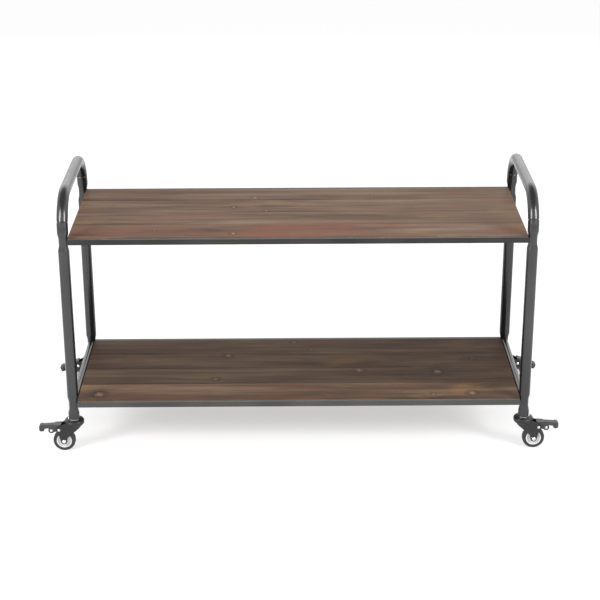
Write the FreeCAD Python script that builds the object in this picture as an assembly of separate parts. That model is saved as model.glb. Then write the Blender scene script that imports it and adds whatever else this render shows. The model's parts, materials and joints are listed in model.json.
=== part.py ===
import FreeCAD, Part
import math
import os

# Two-shelf rolling bar cart: steel tube side frames that end in push handles,
# two wooden shelves on square-tube rails, and four swivel casters with brakes.
# Millimetres. Z is up, X runs along the shelves, -Y is the front.
# The origin is on the floor, under the middle of the cart.

V = FreeCAD.Vector
X_AXIS = V(1, 0, 0)
Y_AXIS = V(0, 1, 0)
Z_AXIS = V(0, 0, 1)

# Small gaps that keep neighbouring solids apart.
CURVED_GAP = 0.3
FLAT_GAP = 0.05
# How far a cutting tool runs past the material.
CUT_MARGIN = 1.0

# Leg positions and round tube.
LEG_X = 515.0
LEG_Y = 179.0
TUBE_R = 12.5
TUBE_WALL = 1.5
LEG_BOTTOM_Z = 83.0
SEAM_Z = 552.0
SEAM_GAP = 0.8
END_CHAMFER = 0.8

# Necked zones of the legs, where the shelf frames are fixed.
NECK_R = 10.0
NECK_LENGTH = 17.0
NECK_TAPER = 11.5

# Push handles.
HANDLE_AXIS_Z = 604.0
HANDLE_BEND_R = 76.0
BEND_START_Z = HANDLE_AXIS_Z - HANDLE_BEND_R
SPIGOT_WALL = 1.5
SPIGOT_DEPTH = 20.0
SPIGOT_OVERLAP = 12.0
SEAT_BITE = 0.2

# Square rails.
RAIL_SIZE = 12.0
RAIL_WALL = 1.2
RAIL_CORNER_R = 1.6
UPPER_RAIL_TOP_Z = 513.5
LOWER_RAIL_TOP_Z = 120.0

# Round tubes at the ends of the lower shelf.
SIDE_TUBE_R = 8.0
SIDE_TUBE_WALL = 1.2

# Boards of one shelf.
BOARD_COUNT = 4
BOARD_THICKNESS = 9.5
BOARD_RISE = 1.0
BOARD_HALF_LENGTH = 506.4
BOARD_GAP = 0.5
BOARD_TO_RAIL_GAP = 0.8
BOARD_EDGE_R = 1.2

# Flat bearers under the boards, and the screws that hold the boards.
BEARER_WIDTH = 25.0
BEARER_THICKNESS = 2.6
BEARER_X = {"left": -420.0, "centre": 0.0, "right": 420.0}
SCREW_R = 1.8
SCREW_LENGTH = 8.5
SCREW_HEAD_R = 3.5
SCREW_HEAD_HEIGHT = 1.4

# Plastic insert in the foot of each leg, and the caster stem in it.
INSERT_FLANGE = 2.0
INSERT_DEPTH = 31.0
STEM_R = 5.0
STEM_DEPTH = 28.0
STEM_COLLAR_R = 14.0
STEM_COLLAR_HEIGHT = 1.8
SPINDLE_HEAD_R = 8.0
SPINDLE_HEAD_HEIGHT = 2.0

# Swivel head and fork plates. Caster coordinates: the swivel axis is at zero
# and the wheel trails towards +X.
HEAD_R = 22.5
HEAD_TOP_Z = 78.4
HEAD_SHOULDER_Z = 74.5
HEAD_BOTTOM_Z = 64.0
HEAD_SHEET = 2.0
HEAD_DOME_R = 17.5
HEAD_EDGE = 1.5
HEAD_DRAFT = 0.6
HEAD_LIP_R = 18.5
HEAD_LIP_HEIGHT = 4.0
SLOT_INNER_X = 12.0
SLOT_TOP_Z = 69.0
PLATE_INNER_Y = 10.0
PLATE_SHEET = 2.0
# Side view of a fork plate as (x, z); its lower end is round about the axle.
PLATE_OUTLINE = [
    (-15.0, 70.0),
    (-15.0, 63.0),
    (-8.0, 56.0),
    (16.0, 34.4),
    (17.5, 25.4),
    (32.5, 25.4),
    (35.5, 39.4),
    (41.0, 50.5),
    (41.0, 58.5),
    (36.0, 62.0),
    (18.5, 70.0),
]
PLATE_END_R = 7.5

# Wheel.
WHEEL_TRAIL = 25.0
WHEEL_R = 25.4
WHEEL_HALF_WIDTH = 8.5
HUB_R = 17.3
HUB_WEB_R = 14.0
HUB_BOSS_R = 6.5
HUB_BOSS_HALF = 9.6
HUB_WEB_HALF = 3.0
HUB_RIM_INSET = 1.0
HUB_DRAFT = 0.8
# Tread from its side face to its crown: drop in radius, inset from the face.
TREAD_STEPS = [(3.2, 0.0), (1.4, 1.0), (0.4, 2.6), (0.0, 4.8)]
TREAD_INNER_EDGE = 0.9
AXLE_R = 3.0
AXLE_HEAD_R = 5.2
AXLE_HEAD_HEIGHT = 3.6
# Domed heads: flat and rim as shares of the radius, drop as a share of height.
DOME_FLAT = 0.5
DOME_RIM = 0.83
DOME_DROP = 0.4

# Brake pedal.
PIVOT_X = 35.0
PIVOT_Z = 54.5
RIVET_R = 2.5
RIVET_HEAD_R = 3.6
RIVET_HEAD_HEIGHT = 1.8
TAB_RIVET_X = 53.0
TAB_RIVET_Z = 54.0
TAB_R = 7.0
PEDAL_UP_DEG = 4.0
PEDAL_DOWN_DEG = 20.0
PEDAL_TIP_X = 81.0
PEDAL_HALF_WIDTH = 10.0
PEDAL_EAR_HALF = 9.5
PEDAL_TOP_Z = 66.5
PEDAL_ARM_Z = 59.5
PEDAL_SKIRT_Z = 49.5
PEDAL_ROUND = 4.5
PEDAL_SHEET = 1.6
PEDAL_NECK_END_X = 44.0
EAR_REACH = 5.5
EAR_DROP = 4.5
TOE_LENGTH = 12.0
TOE_HALF_WIDTH = 11.0
TOE_TOP_Z = 67.0
TOE_LOW_Z = 52.0
TOE_ROUND = 4.5
LOBE_X = 40.0
LOBE_Z = 52.0
LOBE_R = 2.8

LEG_ENDS = {"left": -1, "right": 1}
LEG_SIDES = {"front": -1, "rear": 1}
CASTERS = {
    "caster_fl": (-1, -1),
    "caster_fr": (1, -1),
    "caster_rl": (-1, 1),
    "caster_rr": (1, 1),
}


def box(low, high):
    """Box between two corners."""
    size = high.sub(low)
    return Part.makeBox(size.x, size.y, size.z, low)


def upright(radius, low_z, high_z, x=0.0, y=0.0):
    """Vertical cylinder between two heights."""
    return Part.makeCylinder(radius, high_z - low_z, V(x, y, low_z), Z_AXIS)


def crosswise(radius, half_length, x, z):
    """Cylinder along Y, centred on y = 0."""
    return Part.makeCylinder(radius, 2 * half_length, V(x, -half_length, z), Y_AXIS)


def revolved(profile, axis):
    """Solid of revolution of (radius, height) pairs about Z, or about Y."""
    if axis == "z":
        points = [V(r, 0, h) for r, h in profile]
        direction = Z_AXIS
    else:
        points = [V(r, h, 0) for r, h in profile]
        direction = Y_AXIS
    face = Part.Face(Part.makePolygon(points + points[:1]))
    return face.revolve(V(0, 0, 0), direction, 360)


def plate_from_outline(outline, low_y, high_y):
    """Flat plate in the XZ plane, from one y to another."""
    points = [V(x, low_y, z) for x, z in outline]
    face = Part.Face(Part.makePolygon(points + points[:1]))
    return face.extrude(V(0, high_y - low_y, 0))


def fillet_along(shape, direction, radius):
    """Round every straight edge that is parallel to a direction."""
    edges = []
    for edge in shape.Edges:
        if len(edge.Vertexes) < 2:
            continue
        line = edge.Vertexes[1].Point.sub(edge.Vertexes[0].Point)
        if line.cross(direction).Length < 1e-6 * line.Length:
            edges.append(edge)
    return shape.makeFillet(radius, edges)


def neck_centres():
    """Heights of the two necked zones of a leg."""
    return [LOWER_RAIL_TOP_Z - RAIL_SIZE / 2, UPPER_RAIL_TOP_Z - RAIL_SIZE / 2]


def leg_profile(full_r, neck_r):
    """Half outline of a leg, from its foot to its bend, with both necks."""
    half = NECK_LENGTH / 2
    outline = [(full_r, LEG_BOTTOM_Z)]
    for centre in neck_centres():
        outline.append((full_r, centre - half - NECK_TAPER))
        outline.append((neck_r, centre - half))
        outline.append((neck_r, centre + half))
        outline.append((full_r, centre + half + NECK_TAPER))
    outline.append((full_r, BEND_START_Z))
    return outline


def seam_degrees():
    """How far round the bend the handle meets the leg."""
    return math.degrees(math.asin((SEAM_Z - BEND_START_Z) / HANDLE_BEND_R))


def turned(shape, degrees):
    """Carry a shape round the bend, from its start at the origin."""
    moved = shape.copy()
    moved.rotate(V(0, HANDLE_BEND_R, 0), X_AXIS, -degrees)
    return moved


def bent_round(radius, low_degrees, high_degrees):
    """Round bar along the bend, which starts upwards and leans to +Y."""
    face = Part.Face(Part.Wire(Part.makeCircle(radius, V(0, 0, 0), Z_AXIS)))
    face = turned(face, low_degrees)
    return face.revolve(V(0, HANDLE_BEND_R, 0), X_AXIS, low_degrees - high_degrees)


def bent_tube(outer_r, inner_r, low_degrees, high_degrees):
    """Tube along the bend."""
    outer = bent_round(outer_r, low_degrees, high_degrees)
    return outer.cut(bent_round(inner_r, low_degrees, high_degrees))


def end_chamfer(degrees, side):
    """Ring that bevels a tube end; side is 1 for a lower end, -1 for an upper."""
    reach = TUBE_R + END_CHAMFER
    ring = [
        (TUBE_R - END_CHAMFER, 0),
        (reach, 0),
        (reach, side * (reach - TUBE_R + END_CHAMFER)),
    ]
    return turned(revolved(ring, "z"), degrees)


def at_corner(shape, x, y):
    """Stand a shape at a corner so that its bend leans to the middle."""
    placed = shape.copy()
    if y > 0:
        placed.rotate(V(0, 0, 0), Z_AXIS, 180)
    placed.translate(V(x, y, 0))
    return placed


def leg(x, y):
    """Hollow leg tube: straight with two necks, then the start of the bend."""
    outer = leg_profile(TUBE_R, NECK_R)
    inner = leg_profile(TUBE_R - TUBE_WALL, NECK_R - TUBE_WALL)
    straight = revolved(outer + list(reversed(inner)), "z")
    seam = seam_degrees()
    top = bent_tube(TUBE_R, TUBE_R - TUBE_WALL, 0, seam)
    top = top.cut(end_chamfer(seam, -1))
    top.translate(V(0, 0, BEND_START_Z))
    return at_corner(straight.fuse(top).removeSplitter(), x, y)


def handle_end():
    """Bend of a handle from the seam up, with its spigot, at the origin."""
    start = seam_degrees() + math.degrees(SEAM_GAP / HANDLE_BEND_R)
    overlap = math.degrees(SPIGOT_OVERLAP / HANDLE_BEND_R)
    depth = math.degrees(SPIGOT_DEPTH / HANDLE_BEND_R)
    sleeve_r = TUBE_R - TUBE_WALL - CURVED_GAP
    seat_r = TUBE_R - TUBE_WALL + SEAT_BITE
    bend = bent_tube(TUBE_R, TUBE_R - TUBE_WALL, start, 90)
    bend = bend.cut(end_chamfer(start, 1))
    bore_r = sleeve_r - SPIGOT_WALL
    seat = bent_tube(seat_r, bore_r, start, start + overlap)
    sleeve = bent_tube(sleeve_r, bore_r, start - depth, start + overlap / 2)
    bend = bend.fuse([seat, sleeve]).removeSplitter()
    bend.translate(V(0, 0, BEND_START_Z))
    return bend


def handle(x):
    """Push handle: a level bar between two bends."""
    half = LEG_Y - HANDLE_BEND_R
    start = V(x, -half, HANDLE_AXIS_Z)
    bar = Part.makeCylinder(TUBE_R, 2 * half, start, Y_AXIS)
    bar = bar.cut(Part.makeCylinder(TUBE_R - TUBE_WALL, 2 * half, start, Y_AXIS))
    ends = [at_corner(handle_end(), x, y) for y in (-LEG_Y, LEG_Y)]
    return bar.fuse(ends).removeSplitter()


def leg_clearance(low_z, high_z):
    """Cylinders that trim a part to the necks of all four legs."""
    tools = []
    for end in LEG_ENDS.values():
        for side in LEG_SIDES.values():
            radius = NECK_R + CURVED_GAP
            tools.append(upright(radius, low_z, high_z, end * LEG_X, side * LEG_Y))
    return tools


def rail(y, top_z):
    """Square tube between two legs, along X, coped to their necks."""
    half = RAIL_SIZE / 2
    outer = box(V(-LEG_X, y - half, top_z - RAIL_SIZE), V(LEG_X, y + half, top_z))
    outer = fillet_along(outer, X_AXIS, RAIL_CORNER_R)
    inside = half - RAIL_WALL
    bore = box(
        V(-LEG_X, y - inside, top_z - RAIL_SIZE + RAIL_WALL),
        V(LEG_X, y + inside, top_z - RAIL_WALL),
    )
    solid = outer.cut(bore)
    return solid.cut(leg_clearance(top_z - 2 * RAIL_SIZE, top_z + RAIL_SIZE))


def side_tube(x):
    """Round tube between the front and rear leg at a lower shelf end."""
    z = LOWER_RAIL_TOP_Z - RAIL_SIZE / 2
    start = V(x, -LEG_Y, z)
    outer = Part.makeCylinder(SIDE_TUBE_R, 2 * LEG_Y, start, Y_AXIS)
    bore = Part.makeCylinder(SIDE_TUBE_R - SIDE_TUBE_WALL, 2 * LEG_Y, start, Y_AXIS)
    solid = outer.cut(bore)
    return solid.cut(leg_clearance(z - RAIL_SIZE, z + RAIL_SIZE))


def board_span(index):
    """Front and rear y of one board of a shelf."""
    inner_y = LEG_Y - RAIL_SIZE / 2 - BOARD_TO_RAIL_GAP
    width = (2 * inner_y - (BOARD_COUNT - 1) * BOARD_GAP) / BOARD_COUNT
    front = -inner_y + index * (width + BOARD_GAP)
    return front, front + width


def board_underside(rail_top):
    """Height of the boards' lower face."""
    return rail_top + BOARD_RISE - BOARD_THICKNESS


def screw_rows():
    """Centre y of the screws, one row for each board."""
    return [sum(board_span(i)) / 2 for i in range(BOARD_COUNT)]


def screw_holes(rail_top):
    """Clearance holes for all the screws of a shelf."""
    bottom = board_underside(rail_top)
    holes = []
    for x in BEARER_X.values():
        for y in screw_rows():
            radius = SCREW_R + CURVED_GAP
            low = bottom - 2 * BEARER_THICKNESS
            high = bottom - BEARER_THICKNESS + SCREW_LENGTH + CURVED_GAP
            holes.append(upright(radius, low, high, x, y))
    return holes


def board(index, rail_top):
    """Plank with softened edges and blind screw holes."""
    front, rear = board_span(index)
    bottom = board_underside(rail_top)
    solid = box(
        V(-BOARD_HALF_LENGTH, front, bottom),
        V(BOARD_HALF_LENGTH, rear, bottom + BOARD_THICKNESS),
    )
    solid = fillet_along(solid, X_AXIS, BOARD_EDGE_R)
    return solid.cut(screw_holes(rail_top))


def bearer(x, rail_top):
    """Flat steel strip under the boards, between the two rails."""
    inner_y = LEG_Y - RAIL_SIZE / 2 - FLAT_GAP
    top = board_underside(rail_top) - FLAT_GAP
    half = BEARER_WIDTH / 2
    solid = box(V(x - half, -inner_y, top - BEARER_THICKNESS), V(x + half, inner_y, top))
    return solid.cut(screw_holes(rail_top))


def board_screws():
    """All the screws that hold the boards to the bearers."""
    screws = []
    for rail_top in (LOWER_RAIL_TOP_Z, UPPER_RAIL_TOP_Z):
        seat = board_underside(rail_top) - BEARER_THICKNESS - 2 * FLAT_GAP
        for x in BEARER_X.values():
            for y in screw_rows():
                shank = upright(SCREW_R, seat, seat + SCREW_LENGTH, x, y)
                head = upright(SCREW_HEAD_R, seat - SCREW_HEAD_HEIGHT, seat, x, y)
                screws.append(shank.fuse(head).removeSplitter())
    return Part.makeCompound(screws)


def leg_insert(x, y):
    """Plastic plug in a leg's foot, bored for the caster stem."""
    plug_r = TUBE_R - TUBE_WALL - CURVED_GAP
    bore_r = STEM_R + CURVED_GAP
    bottom = LEG_BOTTOM_Z - INSERT_FLANGE - FLAT_GAP
    shoulder = LEG_BOTTOM_Z - FLAT_GAP
    # The plug stops short of the leg's lower neck.
    top = neck_centres()[0] - NECK_LENGTH / 2 - NECK_TAPER - CURVED_GAP
    profile = [
        (bore_r, bottom),
        (TUBE_R, bottom),
        (TUBE_R, shoulder),
        (plug_r, shoulder),
        (plug_r, min(top, bottom + INSERT_DEPTH)),
        (bore_r, min(top, bottom + INSERT_DEPTH)),
    ]
    solid = revolved(profile, "z")
    solid.translate(V(x, y, 0))
    return solid


def caster_stem():
    """Fixed stem: shank, collar that bears on the swivel head, and spindle."""
    collar_top = LEG_BOTTOM_Z - INSERT_FLANGE - 2 * FLAT_GAP
    collar_bottom = collar_top - STEM_COLLAR_HEIGHT
    head_top = HEAD_TOP_Z - HEAD_SHEET - CURVED_GAP
    shank = upright(STEM_R, head_top, collar_top + STEM_DEPTH)
    collar = upright(STEM_COLLAR_R, collar_bottom, collar_top)
    head = upright(SPINDLE_HEAD_R, head_top - SPINDLE_HEAD_HEIGHT, head_top)
    return shank.fuse([collar, head]).removeSplitter()


def swivel_head():
    """Pressed steel cup round the spindle, open below."""
    hole_r = STEM_R + CURVED_GAP
    inner_r = HEAD_R - HEAD_SHEET
    lip_top = HEAD_BOTTOM_Z + HEAD_LIP_HEIGHT
    profile = [
        (hole_r, HEAD_TOP_Z),
        (HEAD_DOME_R, HEAD_TOP_Z),
        (HEAD_R - HEAD_EDGE, HEAD_TOP_Z - HEAD_EDGE),
        (HEAD_R, HEAD_SHOULDER_Z),
        (HEAD_R - HEAD_DRAFT, lip_top),
        (HEAD_LIP_R, HEAD_BOTTOM_Z),
        (HEAD_LIP_R - HEAD_SHEET, HEAD_BOTTOM_Z),
        (inner_r - HEAD_DRAFT, lip_top + HEAD_DRAFT),
        (inner_r, HEAD_SHOULDER_Z - HEAD_DRAFT),
        (HEAD_DOME_R - HEAD_DRAFT, HEAD_TOP_Z - HEAD_SHEET),
        (hole_r, HEAD_TOP_Z - HEAD_SHEET),
    ]
    return revolved(profile, "z")


def caster_fork():
    """Swivel head with two side plates that carry the axle and the pedal pivot."""
    solid = swivel_head()
    plates = []
    for side in (-1, 1):
        low_y = min(side * PLATE_INNER_Y, side * (PLATE_INNER_Y + PLATE_SHEET))
        plate = plate_from_outline(PLATE_OUTLINE, low_y, low_y + PLATE_SHEET)
        centre = V(WHEEL_TRAIL, low_y, WHEEL_R)
        end = Part.makeCylinder(PLATE_END_R, PLATE_SHEET, centre, Y_AXIS)
        plate = plate.fuse(end)
        keep_out = upright(HEAD_R - HEAD_SHEET, HEAD_BOTTOM_Z, HEAD_TOP_Z)
        beyond = plate.cut(keep_out)
        within = plate.common(upright(HEAD_R - HEAD_SHEET, 0, HEAD_TOP_Z - HEAD_SHEET))
        plates.append(beyond.fuse(within).removeSplitter())
    solid = solid.fuse(plates)
    half = PLATE_INNER_Y + 2 * PLATE_SHEET
    solid = solid.cut(crosswise(AXLE_R + CURVED_GAP, half, WHEEL_TRAIL, WHEEL_R))
    solid = solid.cut(crosswise(RIVET_R + CURVED_GAP, half, PIVOT_X, PIVOT_Z))
    # Opening in the front of the head, where the pedal's inner end sits.
    slot = box(
        V(SLOT_INNER_X, -PLATE_INNER_Y, HEAD_BOTTOM_Z - CUT_MARGIN),
        V(HEAD_R + CUT_MARGIN, PLATE_INNER_Y, SLOT_TOP_Z),
    )
    return solid.cut(slot).removeSplitter()


def domed_pin(shank_r, head_r, head_height, seat, x, z):
    """Pin along Y with a domed head beyond the seat at each end."""
    end = seat + head_height
    near_side = [
        (0, -end),
        (head_r * DOME_FLAT, -end),
        (head_r * DOME_RIM, -end + head_height * DOME_DROP),
        (head_r, -seat),
        (shank_r, -seat),
    ]
    far_side = [(r, -h) for r, h in reversed(near_side)]
    solid = revolved(near_side + far_side, "y")
    solid.translate(V(x, 0, z))
    return solid


def caster_axle():
    """Axle bolt with a domed head at one end and a domed nut at the other."""
    seat = PLATE_INNER_Y + PLATE_SHEET + FLAT_GAP
    return domed_pin(AXLE_R, AXLE_HEAD_R, AXLE_HEAD_HEIGHT, seat, WHEEL_TRAIL, WHEEL_R)


def caster_hub():
    """Wheel core with a rim, a thin web and a boss."""
    rim_half = WHEEL_HALF_WIDTH - HUB_RIM_INSET
    bore_r = AXLE_R + CURVED_GAP
    near_side = [
        (bore_r, -HUB_BOSS_HALF),
        (HUB_BOSS_R, -HUB_BOSS_HALF),
        (HUB_BOSS_R + HUB_DRAFT, -HUB_WEB_HALF),
        (HUB_WEB_R, -HUB_WEB_HALF - HUB_DRAFT),
        (HUB_WEB_R + HUB_DRAFT, -rim_half),
        (HUB_R, -rim_half),
    ]
    far_side = [(r, -h) for r, h in reversed(near_side)]
    solid = revolved(near_side + far_side, "y")
    solid.translate(V(WHEEL_TRAIL, 0, WHEEL_R))
    return solid


def caster_tyre():
    """Rounded tread round the wheel core."""
    half = WHEEL_HALF_WIDTH
    inner_r = HUB_R + CURVED_GAP
    near_side = [(inner_r, -half + TREAD_INNER_EDGE), (inner_r + TREAD_INNER_EDGE, -half)]
    near_side += [(WHEEL_R - drop, -half + inset) for drop, inset in TREAD_STEPS]
    far_side = [(r, -h) for r, h in reversed(near_side)]
    solid = revolved(near_side + far_side, "y")
    solid.translate(V(WHEEL_TRAIL, 0, WHEEL_R))
    return solid


def pedal_channel():
    """Bent sheet channel: ears at the pivot, deep at the fork, shallow beyond."""
    outer = box(
        V(PEDAL_NECK_END_X, -PEDAL_HALF_WIDTH, PEDAL_ARM_Z),
        V(PEDAL_TIP_X - TOE_LENGTH / 2, PEDAL_HALF_WIDTH, PEDAL_TOP_Z),
    )
    upper = [
        edge
        for edge in outer.Edges
        if edge.BoundBox.ZMin > PEDAL_TOP_Z - PEDAL_SHEET and edge.BoundBox.XLength > PEDAL_SHEET
    ]
    outer = outer.makeFillet(PEDAL_ROUND, upper)
    neck = box(
        V(PIVOT_X - EAR_REACH, -PEDAL_EAR_HALF, PIVOT_Z - EAR_DROP),
        V(PEDAL_NECK_END_X + PEDAL_SHEET, PEDAL_EAR_HALF, PEDAL_TOP_Z),
    )
    deep = box(
        V(PEDAL_NECK_END_X, -PEDAL_HALF_WIDTH, PEDAL_SKIRT_Z),
        V(TAB_RIVET_X, PEDAL_HALF_WIDTH, PEDAL_ARM_Z),
    )
    inner_half = PEDAL_EAR_HALF - PEDAL_SHEET
    hollow = box(
        V(PIVOT_X - EAR_REACH - CUT_MARGIN, -inner_half, PEDAL_SKIRT_Z - CUT_MARGIN),
        V(PEDAL_TIP_X - TOE_LENGTH, inner_half, PEDAL_TOP_Z - PEDAL_SHEET),
    )
    return outer.fuse([neck, deep]).cut(hollow)


def pedal_tabs():
    """Round lobes that hang below the arm at the outer rivet."""
    tabs = []
    for side in (-1, 1):
        outer_y = side * PEDAL_HALF_WIDTH
        inner_y = side * (PEDAL_EAR_HALF - PEDAL_SHEET)
        low_y = min(outer_y, inner_y)
        start = V(TAB_RIVET_X, low_y, TAB_RIVET_Z)
        tabs.append(Part.makeCylinder(TAB_R, abs(outer_y - inner_y), start, Y_AXIS))
    return tabs


def pedal_toe():
    """Thick rounded end that the foot presses."""
    toe = box(
        V(PEDAL_TIP_X - TOE_LENGTH, -TOE_HALF_WIDTH, TOE_LOW_Z),
        V(PEDAL_TIP_X, TOE_HALF_WIDTH, TOE_TOP_Z),
    )
    return toe.makeFillet(TOE_ROUND, toe.Edges)


def tilted(shape, degrees):
    """Copy of a pedal piece turned about the pivot, outer end down."""
    copy = shape.copy()
    copy.rotate(V(PIVOT_X, 0, PIVOT_Z), Y_AXIS, degrees)
    return copy


def caster_pedal():
    """Brake pedal with its pivot ears, toe and the lobe that meets the tyre."""
    solid = pedal_channel().fuse(pedal_tabs() + [pedal_toe()])
    inner_half = PEDAL_EAR_HALF - PEDAL_SHEET / 2
    solid = solid.fuse(crosswise(LOBE_R, inner_half, LOBE_X, LOBE_Z)).removeSplitter()
    half = TOE_HALF_WIDTH + CUT_MARGIN
    solid = solid.cut(crosswise(RIVET_R + CURVED_GAP, half, PIVOT_X, PIVOT_Z))
    return solid.cut(crosswise(RIVET_R + CURVED_GAP, half, TAB_RIVET_X, TAB_RIVET_Z))


def caster_rivets():
    """Pivot rivet through the fork and a second rivet through the pedal tabs."""
    rivets = []
    for x, z, seat in (
        (PIVOT_X, PIVOT_Z, PLATE_INNER_Y + PLATE_SHEET + CURVED_GAP),
        (TAB_RIVET_X, TAB_RIVET_Z, PEDAL_HALF_WIDTH + FLAT_GAP),
    ):
        rivets.append(domed_pin(RIVET_R, RIVET_HEAD_R, RIVET_HEAD_HEIGHT, seat, x, z))
    return Part.makeCompound(rivets)


def place_caster(shape, end, side):
    """Put a caster piece under its leg, trailing outwards."""
    placed = shape.copy()
    if end < 0:
        placed.rotate(V(0, 0, 0), Z_AXIS, 180)
    placed.translate(V(end * LEG_X, side * LEG_Y, 0))
    return placed


def frame_nodes():
    """Handles, legs, inserts, rails and side tubes."""
    nodes = {}
    for end_name, end in LEG_ENDS.items():
        nodes["handle_" + end_name] = handle(end * LEG_X)
        nodes["lower_side_tube_" + end_name] = side_tube(end * LEG_X)
        for side_name, side in LEG_SIDES.items():
            key = side_name + "_" + end_name
            nodes["leg_" + key] = leg(end * LEG_X, side * LEG_Y)
            nodes["leg_insert_" + key] = leg_insert(end * LEG_X, side * LEG_Y)
    return nodes


def shelf_nodes(name, rail_top):
    """Rails, bearers and boards of one shelf."""
    nodes = {}
    for side_name, side in LEG_SIDES.items():
        nodes[name + "_rail_" + side_name] = rail(side * LEG_Y, rail_top)
    for place, x in BEARER_X.items():
        nodes[name + "_bearer_" + place] = bearer(x, rail_top)
    for index in range(BOARD_COUNT):
        nodes[name + "_board_" + str(index + 1)] = board(index, rail_top)
    return nodes


def caster_nodes():
    """Every piece of the four casters."""
    pieces = {
        "stem": caster_stem(),
        "fork": caster_fork(),
        "axle": caster_axle(),
        "hub": caster_hub(),
        "tyre": caster_tyre(),
        "pedal": caster_pedal(),
        "rivets": caster_rivets(),
    }
    nodes = {}
    for caster_name, (end, side) in CASTERS.items():
        # The front brakes stand released and the rear ones pressed.
        angle = PEDAL_UP_DEG if side < 0 else PEDAL_DOWN_DEG
        for piece_name, shape in pieces.items():
            if piece_name in ("pedal", "rivets"):
                shape = tilted(shape, angle)
            nodes[caster_name + "_" + piece_name] = place_caster(shape, end, side)
    return nodes


def main():
    """Build every node and write one STEP file for each."""
    os.makedirs("parts", exist_ok=True)
    nodes = frame_nodes()
    nodes.update(shelf_nodes("upper", UPPER_RAIL_TOP_Z))
    nodes.update(shelf_nodes("lower", LOWER_RAIL_TOP_Z))
    nodes["board_screws"] = board_screws()
    nodes.update(caster_nodes())
    for name, shape in nodes.items():
        shape.exportStep("parts/" + name + ".step")


main()
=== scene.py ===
import bpy
import bmesh
import json
import math
import random
from mathutils import Matrix, Vector, noise


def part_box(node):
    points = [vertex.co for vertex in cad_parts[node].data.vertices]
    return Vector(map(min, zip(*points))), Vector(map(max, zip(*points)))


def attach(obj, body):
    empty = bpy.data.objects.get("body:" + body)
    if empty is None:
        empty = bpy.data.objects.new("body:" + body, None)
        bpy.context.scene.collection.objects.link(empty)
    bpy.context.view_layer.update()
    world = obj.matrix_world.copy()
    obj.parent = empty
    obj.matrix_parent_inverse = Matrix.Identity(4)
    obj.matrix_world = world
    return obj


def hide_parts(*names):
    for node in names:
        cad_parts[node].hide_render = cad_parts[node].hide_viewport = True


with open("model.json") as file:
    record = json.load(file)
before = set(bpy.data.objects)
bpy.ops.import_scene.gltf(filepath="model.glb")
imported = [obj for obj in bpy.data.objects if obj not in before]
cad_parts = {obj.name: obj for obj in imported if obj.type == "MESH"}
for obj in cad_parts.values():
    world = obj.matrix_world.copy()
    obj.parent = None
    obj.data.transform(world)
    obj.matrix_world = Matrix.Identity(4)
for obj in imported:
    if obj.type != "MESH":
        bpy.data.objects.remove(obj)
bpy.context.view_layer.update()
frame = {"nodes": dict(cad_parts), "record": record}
nodes = frame["nodes"]

BODY = "cart"


# ---------------------------------------------------------------- materials

class Shader:
    """Small helper round one node tree."""

    def __init__(self, name):
        self.material = bpy.data.materials.new(name)
        self.material.use_nodes = True
        self.tree = self.material.node_tree
        self.bsdf = self.tree.nodes["Principled BSDF"]

    def add(self, kind, **settings):
        node = self.tree.nodes.new(kind)
        for key, value in settings.items():
            setattr(node, key, value)
        return node

    def link(self, source, target):
        self.tree.links.new(source, target)

    def feed(self, socket, value):
        if isinstance(value, bpy.types.NodeSocket):
            self.link(value, socket)
        else:
            socket.default_value = value

    def shade(self, **values):
        """Set sockets of the surface by name, with underscores for spaces."""
        for key, value in values.items():
            self.feed(self.bsdf.inputs[key.replace("_", " ")], value)

    def position(self):
        """Position on the object, in metres."""
        return self.add("ShaderNodeTexCoord").outputs["Object"]

    def stretch(self, vector, scale=(1, 1, 1), shift=(0, 0, 0)):
        mapping = self.add("ShaderNodeMapping")
        mapping.inputs["Scale"].default_value = scale
        mapping.inputs["Location"].default_value = shift
        self.link(vector, mapping.inputs["Vector"])
        return mapping.outputs["Vector"]

    def noise(self, vector, scale=1.0, detail=4.0, rough=0.55):
        node = self.add("ShaderNodeTexNoise")
        self.link(vector, node.inputs["Vector"])
        node.inputs["Scale"].default_value = scale
        node.inputs["Detail"].default_value = detail
        node.inputs["Roughness"].default_value = rough
        return node.outputs["Fac"]

    def ramp(self, value, stops):
        node = self.add("ShaderNodeValToRGB")
        while len(node.color_ramp.elements) < len(stops):
            node.color_ramp.elements.new(0.5)
        for element, (place, colour) in zip(node.color_ramp.elements, stops):
            element.position = place
            element.color = (*colour, 1)
        self.link(value, node.inputs["Fac"])
        return node.outputs["Color"]

    def span(self, value, low, high, to_low=0.0, to_high=1.0):
        node = self.add("ShaderNodeMapRange")
        self.link(value, node.inputs["Value"])
        node.inputs["From Min"].default_value = low
        node.inputs["From Max"].default_value = high
        node.inputs["To Min"].default_value = to_low
        node.inputs["To Max"].default_value = to_high
        return node.outputs["Result"]

    def math(self, kind, a, b=0.0):
        node = self.add("ShaderNodeMath", operation=kind)
        self.feed(node.inputs[0], a)
        self.feed(node.inputs[1], b)
        return node.outputs[0]

    def mix(self, amount, a, b):
        """Blend two colours; the sixth and seventh sockets are the colours."""
        node = self.add("ShaderNodeMix", data_type="RGBA")
        self.feed(node.inputs[0], amount)
        self.feed(node.inputs[6], a)
        self.feed(node.inputs[7], b)
        return node.outputs[2]

    def tint(self, base, field, low, high, strength, colour):
        """Blend a colour in where a field rises from low to high."""
        return self.mix(self.span(field, low, high, 0.0, strength), base, (*colour, 1))

    def bump(self, height, strength, distance, after=None):
        node = self.add("ShaderNodeBump")
        node.inputs["Strength"].default_value = strength
        node.inputs["Distance"].default_value = distance
        self.link(height, node.inputs["Height"])
        if after is not None:
            self.link(after, node.inputs["Normal"])
        return node.outputs["Normal"]


def scaled(colour, factor):
    return tuple(min(1.0, c * factor) for c in colour)


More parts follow.
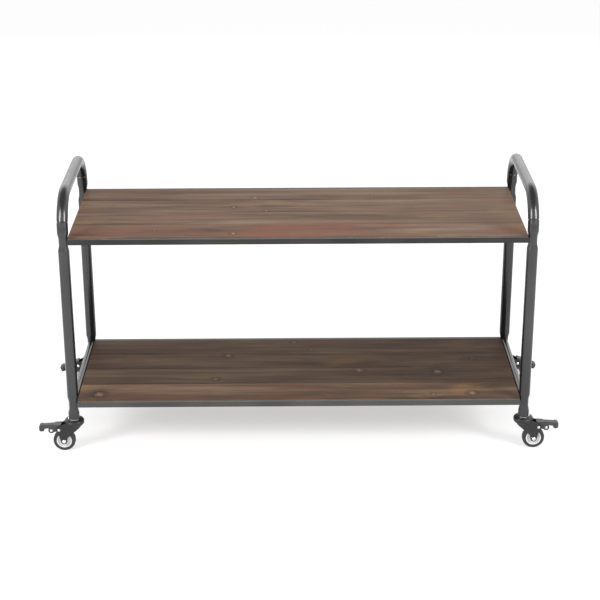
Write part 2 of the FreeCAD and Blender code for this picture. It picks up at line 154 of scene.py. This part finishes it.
# Grain of the materials, as cells per metre along x, y and z.
STEEL_CLOUDS = (9, 9, 3)
STEEL_RUBS = (60, 60, 9)
STEEL_GRAIN = 1100
ENAMEL_CLOUDS = 70
ENAMEL_GRAIN = 1300
ENAMEL_SCUFFS = (260, 60, 260)
GRAIN_DEPTH = 0.0001
STEEL_GRAIN_STRENGTH = 0.08
# Shifts that keep the noises of one material apart.
RUB_SHIFT = (3, 1, 2)
SCUFF_SHIFT = (1, 7, 4)
FINE_SHIFT = (5, 5, 5)
# Where rubs and scuffs start and are full, and their strength and tone.
RUBS = (0.66, 0.80, 0.35)
SCUFFS = (0.64, 0.78, 0.35)
RUB_TONE = 1.6
SCUFF_TONE = 2.2
# Darker and lighter clouds of the enamel.
CLOUD_TONES = (0.85, 1.15)
# Low and high end of a noise, and the change of roughness at the two.
NOISE_LOW, NOISE_HIGH = 0.3, 0.7
RUB_LOW, RUB_HIGH = 0.3, 0.75
RUB_ROUGHER = (-0.04, 0.08)
CLOUD_ROUGHER = (0.08, -0.05)


def metal(name, dark, light, rough, metallic, shine=0.5):
    """Painted or plated steel: a slow change of tone, fine grain, faint rubs."""
    s = Shader(name)
    where = s.position()
    slow = s.noise(s.stretch(where, STEEL_CLOUDS), detail=2, rough=0.4)
    fine = s.noise(where, STEEL_GRAIN, detail=2)
    rubs = s.noise(s.stretch(where, STEEL_RUBS, RUB_SHIFT), detail=5, rough=0.65)
    base = s.ramp(slow, [(NOISE_LOW, dark), (NOISE_HIGH, light)])
    low_rough, high_rough = (rough + change for change in RUB_ROUGHER)
    s.shade(
        Base_Color=s.tint(base, rubs, *RUBS, scaled(light, RUB_TONE)),
        Metallic=metallic,
        Roughness=s.span(rubs, RUB_LOW, RUB_HIGH, low_rough, high_rough),
        Specular_IOR_Level=shine,
        Normal=s.bump(fine, STEEL_GRAIN_STRENGTH, GRAIN_DEPTH),
    )
    return s.material


def enamel(name, colour, rough, grain=0.12, shine=0.4):
    """Paint, moulded plastic or rubber: clouded tone, fine grain and scuffs."""
    s = Shader(name)
    where = s.position()
    cloud = s.noise(where, ENAMEL_CLOUDS, detail=5)
    fine = s.noise(s.stretch(where, shift=FINE_SHIFT), ENAMEL_GRAIN, detail=2)
    scuffs = s.noise(s.stretch(where, ENAMEL_SCUFFS, SCUFF_SHIFT), detail=4, rough=0.7)
    dark, light = (scaled(colour, tone) for tone in CLOUD_TONES)
    base = s.ramp(cloud, [(NOISE_LOW, dark), (NOISE_HIGH, light)])
    low_rough, high_rough = (rough + change for change in CLOUD_ROUGHER)
    s.shade(
        Base_Color=s.tint(base, scuffs, *SCUFFS, scaled(colour, SCUFF_TONE)),
        Roughness=s.span(cloud, NOISE_LOW, NOISE_HIGH, low_rough, high_rough),
        Specular_IOR_Level=shine,
        Normal=s.bump(fine, grain, GRAIN_DEPTH),
    )
    return s.material


# Knots: width over length, reach of the bent grain in radii, pull on the grain,
# cells per metre of the uneven rim, and the edges of core and ring in radii.
KNOT_ASPECT = 1.1
KNOT_REACH = 2.6
KNOT_PULL = -0.7
KNOT_WOBBLE = 260
CORE_EDGES = (0.3, 1.0)
RING_EDGES = (0.7, 1.3, 2.6)


def strongest(s, fields):
    """Highest value of several fields."""
    highest = fields[0]
    for field in fields[1:]:
        highest = s.math("MAXIMUM", highest, field)
    return highest


def knot(s, x, y, wobble, place):
    """Bend of the grain, pale core and dark ring of one knot."""
    knot_x, knot_y, radius = place
    dx = s.math("MULTIPLY", s.math("SUBTRACT", x, knot_x), KNOT_ASPECT)
    dy = s.math("SUBTRACT", y, knot_y)
    square = s.math("ADD", s.math("MULTIPLY", dx, dx), s.math("MULTIPLY", dy, dy))
    fall = -1.0 / (KNOT_REACH * radius) ** 2
    near = s.math("EXPONENT", s.math("MULTIPLY", square, fall))
    bend = s.math("MULTIPLY", near, s.math("MULTIPLY", dy, KNOT_PULL))
    uneven = s.span(wobble, NOISE_LOW, NOISE_HIGH, -radius / 2, radius / 2)
    reach = s.math("ADD", s.math("SQRT", square), uneven)
    core_full, core_end = (radius * edge for edge in CORE_EDGES)
    ring_start, ring_full, ring_end = (radius * edge for edge in RING_EDGES)
    core = s.span(reach, core_full, core_end, 1.0, 0.0)
    rise = s.span(reach, ring_start, ring_full, 0.0, 1.0)
    ring = s.math("MULTIPLY", rise, s.span(reach, ring_full, ring_end, 1.0, 0.0))
    return bend, core, ring


def knot_fields(s, x, y, knots):
    """Bend of the grain, pale cores and dark rings of all knots of a board."""
    wobble = s.noise(s.position(), KNOT_WOBBLE, detail=3)
    bends, cores, rings = zip(*(knot(s, x, y, wobble, place) for place in knots))
    push = bends[0]
    for bend in bends[1:]:
        push = s.math("ADD", push, bend)
    return push, strongest(s, cores), strongest(s, rings)


# Grain of the wood, as cells per metre along x, y and z.
WOOD_SWAY = (3.0, 9.0, 1.0)
WOOD_BANDS = (1.6, 17, 12)
WOOD_STREAKS = (3.4, 62, 40)
WOOD_LINES = (8, 420, 200)
WOOD_PORES = (60, 1500, 700)
WOOD_PATCHES = (4.2, 13, 9)
SWAY_WIDTH = 0.006
SEED_STEP = (3.17, 1.73, 0.91)
PATCH_SHIFT = (1, 1, 1)
# Where the dark, middle and light tone stand in the bands.
BAND_STOPS = (0.28, 0.48, 0.68)
# Where each layer of colour starts and is full, and its strength.
DARK_STREAKS = (0.46, 0.66, 0.60)
LIGHT_STREAKS = (0.46, 0.30, 0.50)
DARK_LINES = (0.50, 0.72, 0.45)
DARK_PORES = (0.60, 0.74, 0.30)
DARK_RINGS = (0.0, 1.0, 0.45)
PALE_CORES = (0.0, 1.0, 0.50)
# The same for layers whose strength is the board's own; the fade is along x.
RED_PATCHES = (0.44, 0.64)
AMBER_PATCHES = (0.46, 0.28)
PALE_END = (0.05, 0.45)
# Lines, pores and rings as shares of the dark tone, cores of the light one.
LINE_TONE, PORE_TONE, RING_TONE, CORE_TONE = 0.70, 0.55, 0.75, 1.9
# The two warm stains, as factors on red, green and blue.
RED_STAIN = (1.42, 0.92, 0.84)
AMBER_STAIN = (1.30, 1.04, 0.68)
# Relief of lines and pores as strength and depth; roughness off and on a line.
LINE_RELIEF = (0.18, 0.0005)
PORE_RELIEF = (0.15, 0.0002)
WOOD_ROUGH = (0.60, 0.48)
WOOD_SHINE = 0.04


def stained(colour, factors):
    return tuple(c * factor for c, factor in zip(colour, factors))


def wood(name, seed, tones, knots, red, amber, right_fade):
    """Stained pine: slow bands, long soft streaks, fine grain, pores and knots.

    tones are the dark, middle and light colours; knots are (x, y, radius);
    red and amber are the strengths of the two warm stains; the last argument
    is how far the right half fades to the light colour.
    """
    s = Shader(name)
    shift = tuple(seed * step for step in SEED_STEP)
    dark, middle, light = tones
    split = s.add("ShaderNodeSeparateXYZ")
    s.link(s.position(), split.inputs[0])
    x, y, z = split.outputs
    push, cores, rings = knot_fields(s, x, y, knots)
    sway = s.noise(s.stretch(s.position(), WOOD_SWAY, shift), detail=2)
    bent = s.math("ADD", y, push)
    y = s.math("ADD", bent, s.span(sway, 0.0, 1.0, -SWAY_WIDTH, SWAY_WIDTH))
    join = s.add("ShaderNodeCombineXYZ")
    for socket, value in zip(join.inputs, (x, y, z)):
        s.link(value, socket)
    grain = join.outputs[0]

    bands = s.noise(s.stretch(grain, WOOD_BANDS, shift), detail=3, rough=0.5)
    streaks = s.noise(s.stretch(grain, WOOD_STREAKS, shift), detail=4, rough=0.6)
    lines = s.noise(s.stretch(grain, WOOD_LINES, shift), detail=3, rough=0.6)
    pores = s.noise(s.stretch(grain, WOOD_PORES, shift), detail=2)
    patch = s.noise(s.stretch(grain, WOOD_PATCHES, PATCH_SHIFT), detail=4, rough=0.6)

    base = s.ramp(bands, list(zip(BAND_STOPS, tones)))
    base = s.tint(base, streaks, *DARK_STREAKS, dark)
    base = s.tint(base, streaks, *LIGHT_STREAKS, light)
    base = s.tint(base, x, *PALE_END, right_fade, light)
    base = s.tint(base, patch, *RED_PATCHES, red, stained(middle, RED_STAIN))
    base = s.tint(base, patch, *AMBER_PATCHES, amber, stained(light, AMBER_STAIN))
    base = s.tint(base, lines, *DARK_LINES, scaled(dark, LINE_TONE))
    base = s.tint(base, pores, *DARK_PORES, scaled(dark, PORE_TONE))
    base = s.tint(base, rings, *DARK_RINGS, scaled(dark, RING_TONE))
    base = s.tint(base, cores, *PALE_CORES, scaled(light, CORE_TONE))
    raised = s.bump(lines, *LINE_RELIEF)
    s.shade(
        Base_Color=base,
        Roughness=s.span(lines, NOISE_LOW, NOISE_HIGH, *WOOD_ROUGH),
        Specular_IOR_Level=WOOD_SHINE,
        Normal=s.bump(pores, *PORE_RELIEF, after=raised),
    )
    return s.material


def neutral(value, tint=1.03):
    """Grey with a very slight cool cast."""
    return (value, value, value * tint)


MATERIALS = {
    "frame_steel": metal("gunmetal", neutral(0.056), neutral(0.080), rough=0.21, metallic=0.95),
    "bearer_steel": metal("bearer paint", neutral(0.07), neutral(0.10), rough=0.45, metallic=0.7),
    "screw_steel": metal("zinc", neutral(0.45), neutral(0.60), rough=0.32, metallic=1.0),
    "bright_steel": metal("bright plate", neutral(0.62), neutral(0.78), rough=0.18, metallic=1.0),
    "caster_black": enamel("black enamel", neutral(0.013), rough=0.42),
    "insert_plastic": enamel("insert plastic", neutral(0.02), rough=0.5),
    "wheel_core": enamel("wheel core", neutral(0.62, 1.0), rough=0.30, grain=0.05),
    "wheel_tread": enamel("tread", neutral(0.022), rough=0.48, grain=0.2),
}
PEDAL_PAINT = metal("pedal enamel", neutral(0.030), neutral(0.055), rough=0.40, metallic=0.35)
RAIL_DARK = (0.044, 0.042, 0.040)
RAIL_LIGHT = (0.062, 0.059, 0.056)
# Tone of the rail paint per shelf: darker on the upper rails as painted shade, lighter on the
# lower rails as painted light.
RAIL_LIGHT_AND_SHADE_TONES = {"upper": 0.62, "lower": 1.28}


def rail_paint(shelf):
    """Duller paint of the rails; the upper copy is darker as painted shade and the lower copy
    lighter as painted light.
    """
    dark, light = (scaled(colour, RAIL_LIGHT_AND_SHADE_TONES[shelf]) for colour in (RAIL_DARK, RAIL_LIGHT))
    return metal(shelf + " rail paint with painted light and shade", dark, light, rough=0.42, metallic=0.25, shine=0.15)


RAIL_PAINT = {shelf: rail_paint(shelf) for shelf in RAIL_LIGHT_AND_SHADE_TONES}


CREASE_DEG = 35.0


def smooth(obj, angle=CREASE_DEG):
    """Smooth shading with crisp edges above an angle."""
    for polygon in obj.data.polygons:
        polygon.use_smooth = True
    obj.data.set_sharp_from_angle(angle=math.radians(angle))


def dress(obj, material):
    obj.data.materials.clear()
    obj.data.materials.append(material)


slots = {part["node"]: part["material_slot"] for part in frame["record"]["subparts"]}
for name, obj in nodes.items():
    if slots[name] in MATERIALS:
        dress(obj, MATERIALS[slots[name]])
    if name.endswith("_pedal"):
        dress(obj, PEDAL_PAINT)
    elif "_rail_" in name:
        dress(obj, RAIL_PAINT[name.split("_")[0]])
    smooth(obj)


# ------------------------------------------------------------------- boards

# Steps of the mesh along the board, across its face and round a corner.
LENGTH_STEPS = 168
WIDTH_STEPS = 12
CORNER_STEPS = 4
# Rounded upper edges, wider at the front of a shelf, and bevels below.
BOARD_ROUND = 0.0006
FRONT_ROUND = 0.0030
LOWER_BEVEL = 0.0006
END_BEVEL = 0.0005
END_STEPS = 2
BOARD_CREASE_DEG = 50
# Depth and cells per metre of the waves of the face and the nicks of the edges.
FACE_WAVE = 0.00022
WAVE_CELLS = (9, 25)
EDGE_NICK = 0.0003
NICK_CELLS = 60
NICK_START = 0.15
# Own slice of the noise for the nicks, and spread of the boards' random offsets.
NICK_SLICE = 3
NOISE_SPREAD = 50


def new_piece(name, bm, material, node, body):
    """Mesh object that stands in for a node and rides on its body."""
    mesh = bpy.data.meshes.new(name)
    bm.to_mesh(mesh)
    bm.free()
    obj = bpy.data.objects.new(name, mesh)
    bpy.context.scene.collection.objects.link(obj)
    obj.data.materials.append(material)
    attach(obj, body)
    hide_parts(node)
    return obj


def board_outline(low, high, front_round):
    """Cross-section of a board as (y, z), rounded at both upper corners."""
    y0, y1, z0, z1 = low[1], high[1], low[2], high[2]
    turn = math.pi / 2 / CORNER_STEPS
    outline = []
    for i in range(CORNER_STEPS + 1):
        a = math.pi - turn * i
        y = y0 + front_round * (1 + math.cos(a))
        outline.append((y, z1 - front_round * (1 - math.sin(a))))
    flat = y1 - y0 - front_round - BOARD_ROUND
    for i in range(1, WIDTH_STEPS):
        outline.append((y0 + front_round + flat * i / WIDTH_STEPS, z1))
    for i in range(CORNER_STEPS + 1):
        a = math.pi / 2 - turn * i
        y = y1 - BOARD_ROUND * (1 - math.cos(a))
        outline.append((y, z1 - BOARD_ROUND * (1 - math.sin(a))))
    outline += [(y1, z0 + LOWER_BEVEL), (y1 - LOWER_BEVEL, z0)]
    outline += [(y0 + LOWER_BEVEL, z0), (y0, z0 + LOWER_BEVEL)]
    return outline


def face_sink(x, y, z, low, high, offset):
    """How far a point of the upper face lies below the flat board."""
    if z <= high[2] - BOARD_ROUND:
        return 0.0
    wave = noise.noise(Vector((x * WAVE_CELLS[0], y * WAVE_CELLS[1], 0)) + offset)
    sink = FACE_WAVE * (1 + wave)
    if min(y - low[1], high[1] - y) < BOARD_ROUND:
        nick = noise.noise(Vector((x * NICK_CELLS, y * NICK_CELLS, NICK_SLICE)) + offset)
        sink += EDGE_NICK * max(0.0, nick - NICK_START)
    return sink


def board_mesh(low, high, front_round, offset):
    """Closed skin of a board, swept along its length."""
    outline = board_outline(low, high, front_round)
    bm = bmesh.new()
    loops = []
    for step in range(LENGTH_STEPS + 1):
        x = low[0] + (high[0] - low[0]) * step / LENGTH_STEPS
        loops.append([
            bm.verts.new((x, y, z - face_sink(x, y, z, low, high, offset)))
            for y, z in outline
        ])
    for a, b in zip(loops, loops[1:]):
        for i in range(len(outline)):
            j = (i + 1) % len(outline)
            bm.faces.new((a[i], a[j], b[j], b[i]))
    bm.faces.new(loops[0][::-1])
    bm.faces.new(loops[-1])
    bmesh.ops.recalc_face_normals(bm, faces=bm.faces)
    return bm


def board_piece(node, seed, material, front_round):
    """Plank with rounded, slightly nicked edges and a faintly wavy face."""
    low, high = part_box(node)
    rng = random.Random(seed)
    offset = Vector([rng.uniform(0, NOISE_SPREAD) for _ in "xyz"])
    bm = board_mesh(low, high, front_round, offset)
    obj = new_piece(node + "_plank", bm, material, node, BODY)
    bevel = obj.modifiers.new("end rounding", "BEVEL")
    bevel.width = END_BEVEL
    bevel.segments = END_STEPS
    bevel.limit_method = "ANGLE"
    bevel.angle_limit = math.radians(BOARD_CREASE_DEG)
    smooth(obj, BOARD_CREASE_DEG)


# Dark, middle and light tone of each shelf. The lower shelf's tones are darker as painted shade
# under the upper shelf, and its front board, which stands out of that shade, is lighter as
# painted light.
SHELF_TONES_AND_PAINTED_SHADE = {
    "upper": ((0.050, 0.031, 0.021), (0.126, 0.082, 0.056), (0.205, 0.145, 0.103)),
    "lower": ((0.027, 0.017, 0.011), (0.057, 0.037, 0.025), (0.106, 0.070, 0.046)),
}
# Lift of each shelf's front board: painted light on the lower front board.
FRONT_PAINTED_LIGHT = {"upper": 1.0, "lower": 1.65}
# How far each shelf's boards grow lighter towards the right.
RIGHT_FADE = {"upper": 0.30, "lower": 0.0}
SEEDS = {"upper": 10, "lower": 20}
# Strengths of the red and the amber stain of each board, front to rear.
STAINS = {
    "upper": ((0.90, 0.60), (0.40, 0.70), (0.30, 0.65), (0.35, 0.30)),
    "lower": ((0.50, 0.95), (0.25, 0.35), (0.25, 0.50), (0.30, 0.25)),
}
# Knots of each board as x, y and radius; board 1 is the front one.
KNOTS = {
    "upper_board_1": [(-0.144, -0.148, 0.006), (-0.320, -0.124, 0.003), (0.124, -0.152, 0.003)],
    "upper_board_2": [(0.020, -0.062, 0.002), (0.340, -0.040, 0.002)],
    "upper_board_3": [(-0.148, 0.034, 0.004), (-0.072, 0.010, 0.004), (0.260, 0.034, 0.003)],
    "upper_board_4": [(-0.100, 0.105, 0.006), (0.176, 0.122, 0.003)],
    "lower_board_1": [(-0.460, -0.140, 0.011), (0.400, -0.145, 0.009), (0.310, -0.150, 0.004)],
    "lower_board_2": [(-0.195, -0.061, 0.006), (0.330, -0.026, 0.010), (0.145, -0.015, 0.009)],
    "lower_board_3": [(-0.170, 0.075, 0.008), (0.420, 0.050, 0.004)],
    "lower_board_4": [(-0.010, 0.155, 0.006), (0.030, 0.110, 0.004)],
}
for shelf, tones in SHELF_TONES_AND_PAINTED_SHADE.items():
    for index, (red, amber) in enumerate(STAINS[shelf], 1):
        node = f"{shelf}_board_{index}"
        seed = SEEDS[shelf] + index
        # The lower front board is made lighter here as painted light.
        painted_lift = FRONT_PAINTED_LIGHT[shelf] if index == 1 else 1.0
        front_round = FRONT_ROUND if index == 1 else BOARD_ROUND
        own_tones = tuple(scaled(tone, painted_lift) for tone in tones)
        pine = wood(node + " pine", seed, own_tones, KNOTS[node], red, amber, RIGHT_FADE[shelf])
        board_piece(node, seed, pine, front_round)


# ------------------------------------------------------------ stage and view

FLOOR_HALF = 40.0
FLOOR_CELLS = 24
FLOOR_TONE = 0.60
FLOOR_ROUGH = 0.95
FLOOR_GLOW = 0.43
WORLD_STRENGTH = 1.25
# White walls up to the first height of the sky ramp, dim ceiling from the second.
WALL_TOP, CEILING_START = 0.60, 0.85
CEILING_TONE = 0.35
# Lights: place, the point they face, width, height and radiance.
BACKDROP = ((0, 3.2, 2.2), (0, 0, 0.6), 6.4, 2.0, 0.9)
SOFTBOX_PLACE = (2.3, -1.9, 1.9)
SOFTBOX_AIM = (0.2, 0, 0.55)
SOFTBOX_SHAPE = (0.9, 1.5, 14.0)


def floor():
    bm = bmesh.new()
    bmesh.ops.create_grid(bm, x_segments=FLOOR_CELLS, y_segments=FLOOR_CELLS, size=FLOOR_HALF)
    mesh = bpy.data.meshes.new("floor")
    bm.to_mesh(mesh)
    bm.free()
    obj = bpy.data.objects.new("floor", mesh)
    bpy.context.scene.collection.objects.link(obj)
    s = Shader("floor paint")
    s.shade(
        Base_Color=(FLOOR_TONE, FLOOR_TONE, FLOOR_TONE, 1),
        Roughness=FLOOR_ROUGH,
        Specular_IOR_Level=0.0,
        Emission_Color=(1, 1, 1, 1),
        Emission_Strength=FLOOR_GLOW,
    )
    mesh.materials.append(s.material)


def panel(name, place, aim, width, height, radiance):
    """Soft rectangular light that points from one place to another."""
    data = bpy.data.lights.new(name, "AREA")
    data.shape = "RECTANGLE"
    data.size = width
    data.size_y = height
    data.energy = radiance * math.pi * width * height
    obj = bpy.data.objects.new(name, data)
    obj.location = place
    obj.rotation_euler = (Vector(aim) - Vector(place)).to_track_quat("-Z", "Y").to_euler()
    bpy.context.scene.collection.objects.link(obj)


def studio_world():
    """White walls under a dimmer ceiling."""
    world = bpy.data.worlds.new("studio")
    bpy.context.scene.world = world
    world.use_nodes = True
    tree = world.node_tree
    direction = tree.nodes.new("ShaderNodeTexCoord").outputs["Generated"]
    split = tree.nodes.new("ShaderNodeSeparateXYZ")
    tree.links.new(direction, split.inputs[0])
    ramp = tree.nodes.new("ShaderNodeValToRGB")
    wall, ceiling = ramp.color_ramp.elements
    wall.position = WALL_TOP
    wall.color = (1, 1, 1, 1)
    ceiling.position = CEILING_START
    ceiling.color = (CEILING_TONE, CEILING_TONE, CEILING_TONE, 1)
    tree.links.new(split.outputs[2], ramp.inputs["Fac"])
    background = tree.nodes["Background"]
    tree.links.new(ramp.outputs["Color"], background.inputs["Color"])
    background.inputs["Strength"].default_value = WORLD_STRENGTH


def mirrored(place, side):
    return (place[0] * side, *place[1:])


floor()
studio_world()
panel("backdrop", *BACKDROP)
for side_name, side in (("left", -1), ("right", 1)):
    place, aim = mirrored(SOFTBOX_PLACE, side), mirrored(SOFTBOX_AIM, side)
    panel("softbox " + side_name, place, aim, *SOFTBOX_SHAPE)

scene = bpy.context.scene
scene.view_settings.view_transform = "Standard"
scene.view_settings.look = "None"

# Viewing angle: turn, downward tilt and lean of the camera.
YAW, PITCH, ROLL = (math.radians(v) for v in (0.283, 21.874, -0.227))
CAMERA_PLACE = (-0.01245, -3.42194, 1.66970)
LENS = 94.2
SENSOR = 36.0
reach = math.cos(PITCH)
forward = Vector((math.sin(YAW) * reach, math.cos(YAW) * reach, -math.sin(PITCH)))
level = Vector((math.cos(YAW), -math.sin(YAW), 0))
upward = level.cross(forward)
right = level * math.cos(ROLL) + upward * math.sin(ROLL)
top = upward * math.cos(ROLL) - level * math.sin(ROLL)
camera_data = bpy.data.cameras.new("camera")
camera_data.sensor_width = SENSOR
camera_data.lens = LENS
camera = bpy.data.objects.new("camera", camera_data)
turn = Matrix((right, top, -forward)).transposed().to_4x4()
camera.matrix_world = Matrix.Translation(CAMERA_PLACE) @ turn
scene.collection.objects.link(camera)
scene.camera = camera
